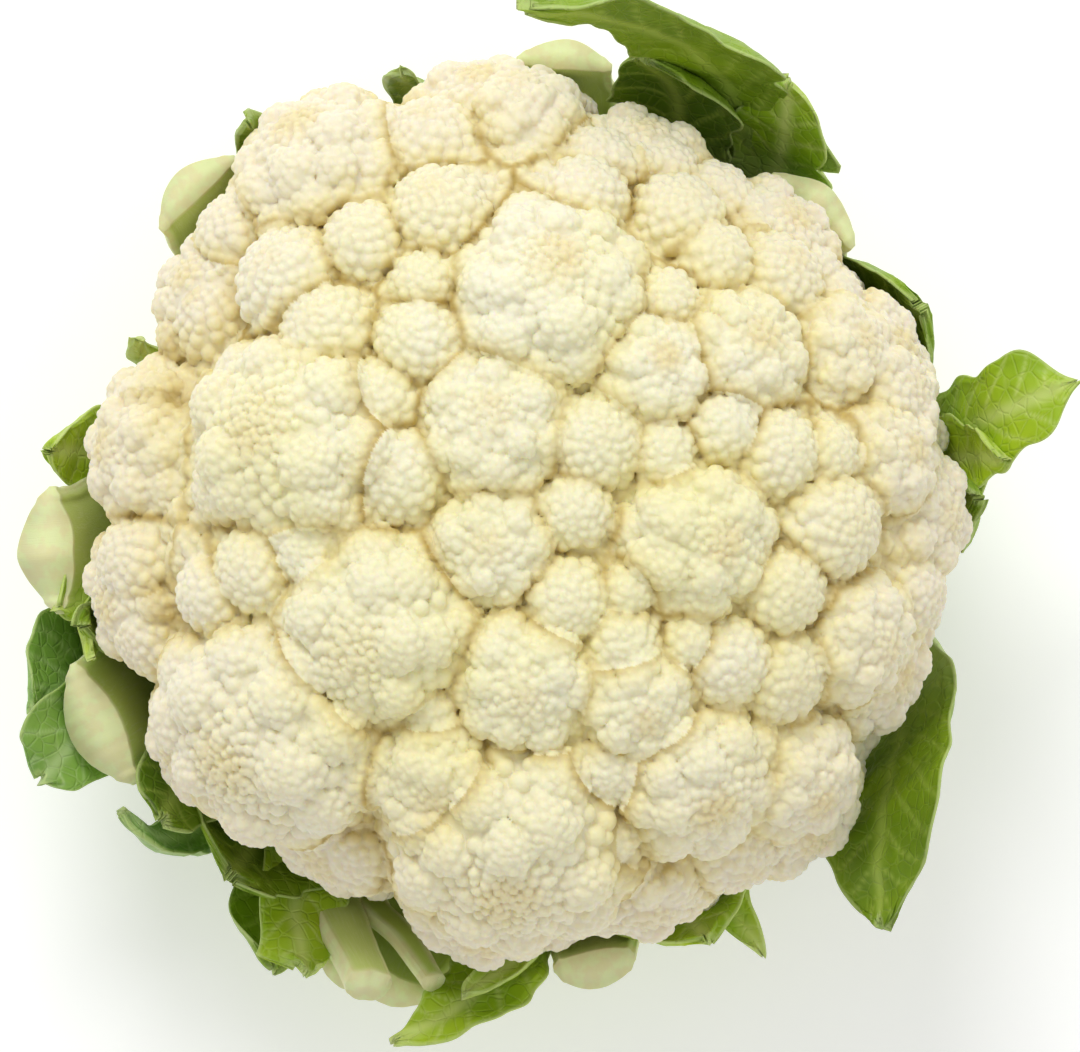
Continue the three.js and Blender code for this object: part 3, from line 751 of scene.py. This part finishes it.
def leaf_half_thickness(leaf, shown, grown, vv):
    """Half the thickness: a rib bowed over the middle, a blade beside it and a thin rim."""
    bow = np.maximum(0, 1 - (vv / 0.75) ** 2)
    rib = along(leaf["rib"], shown)[:, None]
    blade = along(leaf["blade"], shown)[:, None]
    near_rim = smoothstep(0.8, 1.0, np.abs(vv)) * grown
    return (blade + (rib - blade) * bow) / 2 * (1 - near_rim) + leaf["rim"] / 2 * near_rim


def leaf_end(leaf, shown, vv, rng):
    """How far the torn or cut far end is moved along the leaf."""
    torn = wave(rng, vv * 9, 0, 2.2) * 0.5 - 0.5 + leaf["fray"] * wave(rng, vv * 9, 9, 0.5)
    return leaf["tear"] * torn * smoothstep(0.75, 1.0, shown)[:, None]


def make_leaf(name, leaf, rng):
    """A closed leaf: its outer face, its inner face, and the rim that joins them."""
    knots = leaf_knots(leaf)
    spans = len(knots) - 1
    u = np.linspace(0, 1, GRID["along"] + 1)
    centres, tangents = spline(knots, u)
    length = np.concatenate([[0], np.cumsum(np.linalg.norm(np.diff(centres, axis=0), axis=1))])
    past_lead = (u * spans - LEAD) / (spans - LEAD)
    shown = np.maximum(0, past_lead)
    backs = turned(carried_backs(tangents), tangents, np.radians(leaf.get("roll", 0)) * shown)
    sides = np.cross(tangents, backs)
    half = leaf_half_widths(leaf, u * spans, past_lead, shown)
    uu, vv = np.meshgrid(length, np.linspace(-1, 1, GRID["across"] + 1), indexing="ij")
    grown = smoothstep(0.0, 0.25, shown)[:, None]
    across, inward = leaf_section(leaf, half, shown, grown, uu, vv, rng)
    vein = leaf_veins(half, grown, uu, vv, rng)
    thick = leaf_half_thickness(leaf, shown, grown, vv)
    end = leaf_end(leaf, shown, vv, rng)

    def face(raised):
        return (centres[:, None] + sides[:, None] * across[..., None]
                + backs[:, None] * (inward + raised)[..., None]
                + tangents[:, None] * end[..., None])

    outer = face(thick + leaf["vein"] * vein * 0.6)
    inner = face(-(thick - leaf["vein"] * vein * 0.3))
    clear = clear_of_curd(inner.reshape(-1, 3).copy(), CLEARANCE).reshape(inner.shape)
    outer += clear - inner
    points = np.concatenate([outer.reshape(-1, 3), clear.reshape(-1, 3)])
    faces, uv = leaf_faces(GRID["along"], GRID["across"])
    obj = mesh_object(name + "_leaf", points, faces)
    layer = obj.data.uv_layers.new(name="OFBake")
    layer.data.foreach_set("uv", uv.astype(np.float32).ravel())
    fields = {
        "vein": vein,
        "shown": shown[:, None],
        "across": vv,
        "rim": np.minimum((1 - np.abs(vv)) * half[:, None], length[-1] - uu),
        "run": uu,
        "tone": leaf["tone"],
    }
    for field, values in fields.items():
        add_value(obj.data, field, np.tile(np.broadcast_to(values, uu.shape).ravel(), 2))
    add_value(obj.data, "inner", np.repeat([0.0, 1.0], uu.size))
    return obj


def leaf_faces(nu, nv):
    """Quads of a leaf's two faces, rim and ends, and their places in the bake map."""
    row, size = nv + 1, (nu + 1) * (nv + 1)
    faces, uv = [], []

    def add(quad, corners, turned_over=False):
        faces.append(quad[::-1] if turned_over else quad)
        uv.extend(corners[::-1] if turned_over else corners)

    for i in range(nu):
        x0, x1 = i / nu, (i + 1) / nu
        for j in range(nv):
            a, b = i * row + j, (i + 1) * row + j
            y0, y1 = BAKE["face"] * j / nv, BAKE["face"] * (j + 1) / nv
            add((a, a + 1, b + 1, b), [(x0, y0), (x0, y1), (x1, y1), (x1, y0)])
            y0, y1 = y0 + BAKE["inner"], y1 + BAKE["inner"]
            add((size + a, size + b, size + b + 1, size + a + 1),
                [(x0, y0), (x1, y0), (x1, y1), (x0, y1)])
        for edge, y0 in zip((0, nv), BAKE["edges"]):
            a, b, y1 = i * row + edge, (i + 1) * row + edge, y0 + BAKE["edge"]
            add((a, size + a, size + b, b), [(x0, y0), (x0, y1), (x1, y1), (x1, y0)], edge == 0)
    for end, y0 in zip((0, nu), BAKE["ends"]):
        for j in range(nv):
            a, x0, x1, y1 = end * row + j, j / nv, (j + 1) / nv, y0 + BAKE["end"]
            add((a, a + 1, size + a + 1, size + a),
                [(x0, y0), (x1, y0), (x1, y1), (x0, y1)], end == 0)
    return faces, np.array(uv)


# ---- Stem ----

def make_stem():
    """The cut stem: ribbed, with a flat cut face under it, widening to the curd's seat."""
    rng = random.Random(3)
    top = CURD["seat"] - STEM["lift"]
    rings, sides = 60, 160
    levels = np.concatenate([[0.0, 0.25], np.linspace(0.8, top, rings)])  # a rounded lower edge
    inset = np.concatenate([[1.0, 0.3], np.zeros(rings)])
    angle = np.linspace(0, 2 * math.pi, sides, endpoint=False)
    share = (levels / top)[:, None]
    reach = STEM["cut"] + (STEM["top"] - STEM["cut"]) * share - inset[:, None]
    twisted = angle[None] + share * STEM["rib_twist"]
    reach = reach + STEM["rib_depth"] * np.cos(STEM["ribs"] * twisted)
    reach = reach + STEM["grain"] * wave(rng, angle[None] * STEM["cut"], levels[:, None], 2.5)
    for tier in TIERS:  # a scar runs round the stem over each level that leaves grow from
        off = levels[:, None] - tier - STEM["scar_rise"]
        reach = reach - STEM["scar_depth"] * np.exp(-(off / 0.7) ** 2)
    points = np.stack([AXIS[0] + reach * np.cos(angle), AXIS[1] + reach * np.sin(angle),
                       np.broadcast_to(levels[:, None], reach.shape)], axis=-1).reshape(-1, 3)
    count = len(levels)
    faces = [(i * sides + j, i * sides + (j + 1) % sides, (i + 1) * sides + (j + 1) % sides,
              (i + 1) * sides + j) for i in range(count - 1) for j in range(sides)]
    faces.append(tuple(range(sides))[::-1])
    faces.append(tuple((count - 1) * sides + j for j in range(sides)))
    stem = mesh_object("stem_cut", points, faces)
    offset = points[:, :2] - AXIS
    add_value(stem.data, "ring", np.hypot(*offset.T))
    add_value(stem.data, "level", points[:, 2])
    return stem


# ---- Material building blocks ----

class Nodes:
    """A short way to write a node material."""

    def __init__(self, name):
        self.material = bpy.data.materials.new(name)
        self.material.use_nodes = True
        self.tree = self.material.node_tree
        self.shader = self.tree.nodes["Principled BSDF"]

    def put(self, socket, value):
        """Links another socket to a socket, or sets the socket to a colour or a number."""
        if isinstance(value, bpy.types.NodeSocket):
            self.tree.links.new(value, socket)
        elif socket.type == "RGBA":
            socket.default_value = (*value, 1)
        else:
            socket.default_value = value

    def add(self, kind, **inputs):
        node = self.tree.nodes.new(kind)
        for name, value in inputs.items():
            self.put(node.inputs[name.replace("_", " ")], value)
        return node

    def value(self, name):
        node = self.tree.nodes.new("ShaderNodeAttribute")
        node.attribute_name = name
        return node.outputs["Fac"]

    def maths(self, operation, a, b=0.0, clamp=False):
        node = self.tree.nodes.new("ShaderNodeMath")
        node.operation = operation
        node.use_clamp = clamp
        self.put(node.inputs[0], a)
        self.put(node.inputs[1], b)
        return node.outputs[0]

    def ramp(self, value, low, high, start=0.0, end=1.0):
        node = self.add("ShaderNodeMapRange", Value=value, From_Min=low, From_Max=high,
                        To_Min=start, To_Max=end)
        node.interpolation_type = "SMOOTHSTEP"
        return node.outputs[0]

    def mix(self, share, a, b):
        node = self.tree.nodes.new("ShaderNodeMix")
        node.data_type = "RGBA"
        for number, value in ((0, share), (6, a), (7, b)):  # its factor and colour sockets
            self.put(node.inputs[number], value)
        return node.outputs[2]

    def noise(self, scale, detail=2.0, rough=0.5, vector=None):
        return self.add("ShaderNodeTexNoise", Scale=scale, Detail=detail, Roughness=rough,
                        Vector=vector or self.place()).outputs["Fac"]

    def cells(self, scale, feature="F1", **inputs):
        node = self.tree.nodes.new("ShaderNodeTexVoronoi")
        node.feature = feature
        for name, value in dict(inputs, Scale=scale, Vector=self.place()).items():
            self.put(node.inputs[name], value)
        return node.outputs["Distance"]

    def place(self):
        return self.tree.nodes.new("ShaderNodeTexCoord").outputs["Object"]

    def bump(self, height, distance, strength, normal=None):
        node = self.add("ShaderNodeBump", Height=height, Distance=distance, Strength=strength)
        if normal:
            self.put(node.inputs["Normal"], normal)
        return node.outputs["Normal"]

    def finish(self, **inputs):
        """Sets the surface's sockets and gives the material."""
        for name, value in inputs.items():
            self.put(self.shader.inputs[name.replace("_", " ")], value)
        return self.material


def curd_material():
    """Cream flesh, tanned at the tips of the big florets, with painted crease shade: straw-yellow
    in the hollows and dark gold, partly real staining, along the seams.
    """
    n = Nodes("curd_flesh")
    cream, warm, white = (0.87, 0.83, 0.51), (0.87, 0.81, 0.42), (0.88, 0.85, 0.66)
    tan, gold, edge = (0.77, 0.65, 0.33), (0.46, 0.31, 0.06), (0.84, 0.77, 0.60)
    straw = (0.86, 0.76, 0.34)
    base = n.mix(n.ramp(n.noise(28), 0.35, 0.7), cream, white)
    base = n.mix(n.maths("MULTIPLY", n.value("floret"), 0.35), base, warm)
    base = n.mix(n.value("side"), base, edge)
    tip = n.maths("MULTIPLY", n.value("tip"), n.ramp(n.noise(60, 3), 0.3, 0.7, 0.15, 0.75))
    base = n.mix(tip, base, tan)
    # Painted crease shade: a straw-yellow wash in the wide hollows between florets.
    base = n.mix(n.maths("MULTIPLY", n.value("dip"), 0.6), base, straw)
    # Painted crease shade: dark gold along the narrow seams between florets, broken into patches
    # that are partly golden-brown staining.
    seam_shade_and_stain = n.maths("MULTIPLY", n.value("seam"), n.ramp(n.noise(55, 3), 0.3, 0.75, 0.3, 1.0))
    base = n.mix(seam_shade_and_stain, base, gold)
    grain = n.cells(950)
    fine = n.noise(2600, 3)
    domed = n.maths("SUBTRACT", 1.0, n.maths("MULTIPLY", grain, grain))
    normal = n.bump(fine, 0.00005, 0.3, n.bump(domed, 0.00022, 0.45))
    return n.finish(
        Base_Color=base, Roughness=n.ramp(fine, 0.2, 0.8, 0.5, 0.72), Normal=normal,
        Subsurface_Weight=0.65, Subsurface_Scale=0.0024, Subsurface_Radius=(1.0, 0.8, 0.3),
        Specular_IOR_Level=0.35,
    )


def stem_material():
    """Pale and green-stained skin, and a cut face of pith inside a darker ring."""
    n = Nodes("stem_flesh")
    pale, green, pith = (0.80, 0.82, 0.55), (0.56, 0.66, 0.28), (0.86, 0.84, 0.62)
    cut_skin = (0.62, 0.58, 0.32)
    side = n.mix(n.ramp(n.noise(60, 4), 0.35, 0.7), pale, green)
    cut = n.mix(n.ramp(n.value("ring"), 23.0, 26.0), pith, cut_skin)
    base = n.mix(n.ramp(n.value("level"), 0.2, 0.6), cut, side)
    grain = n.noise(700, 4)
    return n.finish(
        Base_Color=base, Roughness=n.ramp(grain, 0.2, 0.8, 0.45, 0.7),
        Normal=n.bump(grain, 0.0003, 0.5),
        Subsurface_Weight=0.3, Subsurface_Scale=0.003, Subsurface_Radius=(1.0, 0.9, 0.4),
    )


def petiole_material():
    """Thick stalk: pale to green in long stripes, olive in its hollow towards the curd, partly
    its own colour and partly painted shade, cream at its cut end.
    """
    n = Nodes("petiole_flesh")
    pale, green = (0.64, 0.75, 0.25), (0.40, 0.57, 0.06)
    olive, cream, beige = (0.27, 0.30, 0.02), (0.82, 0.86, 0.50), (0.82, 0.76, 0.46)
    stretch = n.add("ShaderNodeCombineXYZ", X=n.maths("MULTIPLY", n.value("run"), 0.02),
                    Y=n.maths("MULTIPLY", n.value("across"), 2.2)).outputs[0]
    stripes = n.noise(9, 5, 0.6, stretch)
    greener = n.maths("MULTIPLY", n.value("tone"), n.ramp(stripes, 0.3, 0.7, 0.5, 1.0))
    base = n.mix(greener, pale, green)
    base = n.mix(n.ramp(stripes, 0.45, 0.7, 0.0, 0.3), base, cream)
    # Painted shade: dark olive on the inner face towards the curd, partly the stalk's own olive.
    hollow = n.maths("MULTIPLY", n.value("inner"), n.ramp(n.value("shown"), 0.15, 0.85, 0.6, 0.0))
    painted_hollow_shade = n.maths("MULTIPLY", hollow, n.ramp(n.noise(90, 3), 0.3, 0.6, 0.4, 1.0))
    base = n.mix(painted_hollow_shade, base, olive)
    end = n.maths("MULTIPLY", n.ramp(n.value("rim"), 0.4, 2.2, 1.0, 0.0), 0.8)
    base = n.mix(end, base, n.mix(n.ramp(n.noise(300, 3), 0.4, 0.6), cream, beige))
    fibre = n.noise(30, 6, 0.65, stretch)
    return n.finish(
        Base_Color=base, Roughness=n.ramp(fibre, 0.3, 0.7, 0.45, 0.6),
        Normal=n.bump(n.noise(900, 3), 0.0001, 0.4, n.bump(fibre, 0.00025, 0.4)),
        Specular_IOR_Level=0.3, Subsurface_Weight=0.35, Subsurface_Scale=0.002,
        Subsurface_Radius=(0.9, 1.0, 0.35),
    )


def blade_material(name, deep, fresh, back, vein_colour):
    """Leaf blade: deep to fresh green inside, paler on the back, with a net of pale veins."""
    n = Nodes(name)
    base_green, rim_green = (0.52, 0.68, 0.25), (0.62, 0.72, 0.30)
    patches = n.ramp(n.noise(45, 3), 0.3, 0.75, -0.2, 0.6)
    face = n.mix(n.maths("ADD", n.maths("MULTIPLY", n.value("tone"), 0.6), patches, True),
                 deep, fresh)
    base = n.mix(n.value("inner"), n.mix(n.ramp(n.noise(60, 3), 0.3, 0.7), back, fresh), face)
    base = n.mix(n.ramp(n.value("shown"), 0.0, 0.35, 0.6, 0.0), base, base_green)
    net = n.cells(330, "DISTANCE_TO_EDGE")
    base = n.mix(n.ramp(net, 0.0, 0.09, 0.14, 0.0), base, vein_colour)
    base = n.mix(n.maths("MULTIPLY", n.value("vein"), 0.6, True), base, vein_colour)
    base = n.mix(n.ramp(n.value("rim"), 0.1, 0.8, 0.45, 0.0), base, rim_green)
    blistered = n.bump(n.cells(220, "SMOOTH_F1", Smoothness=0.8), 0.0012, 0.5)
    return n.finish(
        Base_Color=base, Roughness=n.ramp(n.noise(250, 3), 0.3, 0.7, 0.42, 0.6),
        Normal=n.bump(n.ramp(net, 0.0, 0.12), 0.0003, 0.5, blistered),
        Specular_IOR_Level=0.3, Subsurface_Weight=0.15, Subsurface_Scale=0.001,
        Subsurface_Radius=(0.6, 1.0, 0.2),
    )


# ---- Assembly ----

def place_piece(piece, node, material):
    piece.data.materials.append(material)
    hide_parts(node)
    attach(piece, "root")


def leaf_materials():
    """The material of each kind of leaf: for a blade its deep, fresh, back and vein colours."""
    return {
        "petiole": petiole_material(),
        "blade": blade_material(
            "blade_dark", (0.075, 0.15, 0.003), (0.24, 0.38, 0.006), (0.26, 0.40, 0.05),
            (0.42, 0.54, 0.10)),
        "bright": blade_material(
            "blade_bright", (0.20, 0.36, 0.006), (0.44, 0.60, 0.02), (0.42, 0.56, 0.07),
            (0.64, 0.73, 0.26)),
        "dull": blade_material(
            "blade_grey", (0.11, 0.24, 0.035), (0.24, 0.42, 0.07), (0.30, 0.47, 0.16),
            (0.52, 0.66, 0.32)),
    }


curd_spheres = crown_florets() + flank_florets()
place_piece(make_curd(), "curd", curd_material())
place_piece(make_stem(), "stem", stem_material())
materials = leaf_materials()
for index, (leaf_name, own) in enumerate([*LEAVES.items(), *SCRAPS.items()]):
    leaf_data = {**KINDS[own["kind"]], **own}
    leaf_piece = make_leaf(leaf_name, leaf_data, random.Random(100 + index))
    node = leaf_data.get("of", leaf_name)
    place_piece(leaf_piece, node, materials[leaf_data["kind"]])


# ---- Studio ----

VIEW = {"distance": 1.1, "width": 0.216, "tilt": 0.5}  # metres; degrees off straight down
SENSOR = 36  # width of the film, in millimetres


def make_floor():
    """A wide sheet of white paper under the stem."""
    side = 4000
    corners = [(-side, -side, 0), (side, -side, 0), (side, side, 0), (-side, side, 0)]
    floor = mesh_object("floor", corners, [(0, 1, 2, 3)])
    material = bpy.data.materials.new("floor_paper")
    material.use_nodes = True
    shader = material.node_tree.nodes["Principled BSDF"]
    shader.inputs["Base Color"].default_value = (0.97, 0.97, 0.97, 1)
    shader.inputs["Roughness"].default_value = 0.9
    shader.inputs["Emission Color"].default_value = (1, 1, 1, 1)
    shader.inputs["Emission Strength"].default_value = 0.18
    floor.data.materials.append(material)


def soft_light(name, place, size, power, target):
    data = bpy.data.lights.new(name, "AREA")
    data.shape = "DISK"
    data.size = size
    data.energy = power
    light = bpy.data.objects.new(name, data)
    light.location = place
    light.rotation_euler = (target - Vector(place)).to_track_quat("-Z", "Y").to_euler()
    bpy.context.scene.collection.objects.link(light)


def make_light(target):
    world = bpy.data.worlds.new("studio")
    world.use_nodes = True
    background = world.node_tree.nodes["Background"]
    background.inputs["Color"].default_value = (1, 1, 1, 1)
    background.inputs["Strength"].default_value = 0.64
    bpy.context.scene.world = world
    soft_light("key", place=(-0.25, 1.0, 1.15), size=0.7, power=10, target=target)
    soft_light("fill", place=(0.9, -0.2, 1.3), size=1.2, power=1.5, target=target)


def make_camera(target):
    data = bpy.data.cameras.new("camera")
    data.sensor_width = SENSOR
    data.lens = SENSOR * VIEW["distance"] / VIEW["width"]
    camera = bpy.data.objects.new("camera", data)
    tilt = math.radians(VIEW["tilt"])
    offset = Vector((0, -math.sin(tilt), math.cos(tilt))) * VIEW["distance"]
    camera.location = target + offset
    camera.rotation_euler = (-offset).to_track_quat("-Z", "Y").to_euler()
    bpy.context.scene.collection.objects.link(camera)
    bpy.context.scene.camera = camera


view_target = Vector((HOME[0] * MM, HOME[1] * MM, CURD["waist"] * MM))
make_floor()
make_light(view_target)
make_camera(view_target)
bpy.context.scene.view_settings.view_transform = "Standard"
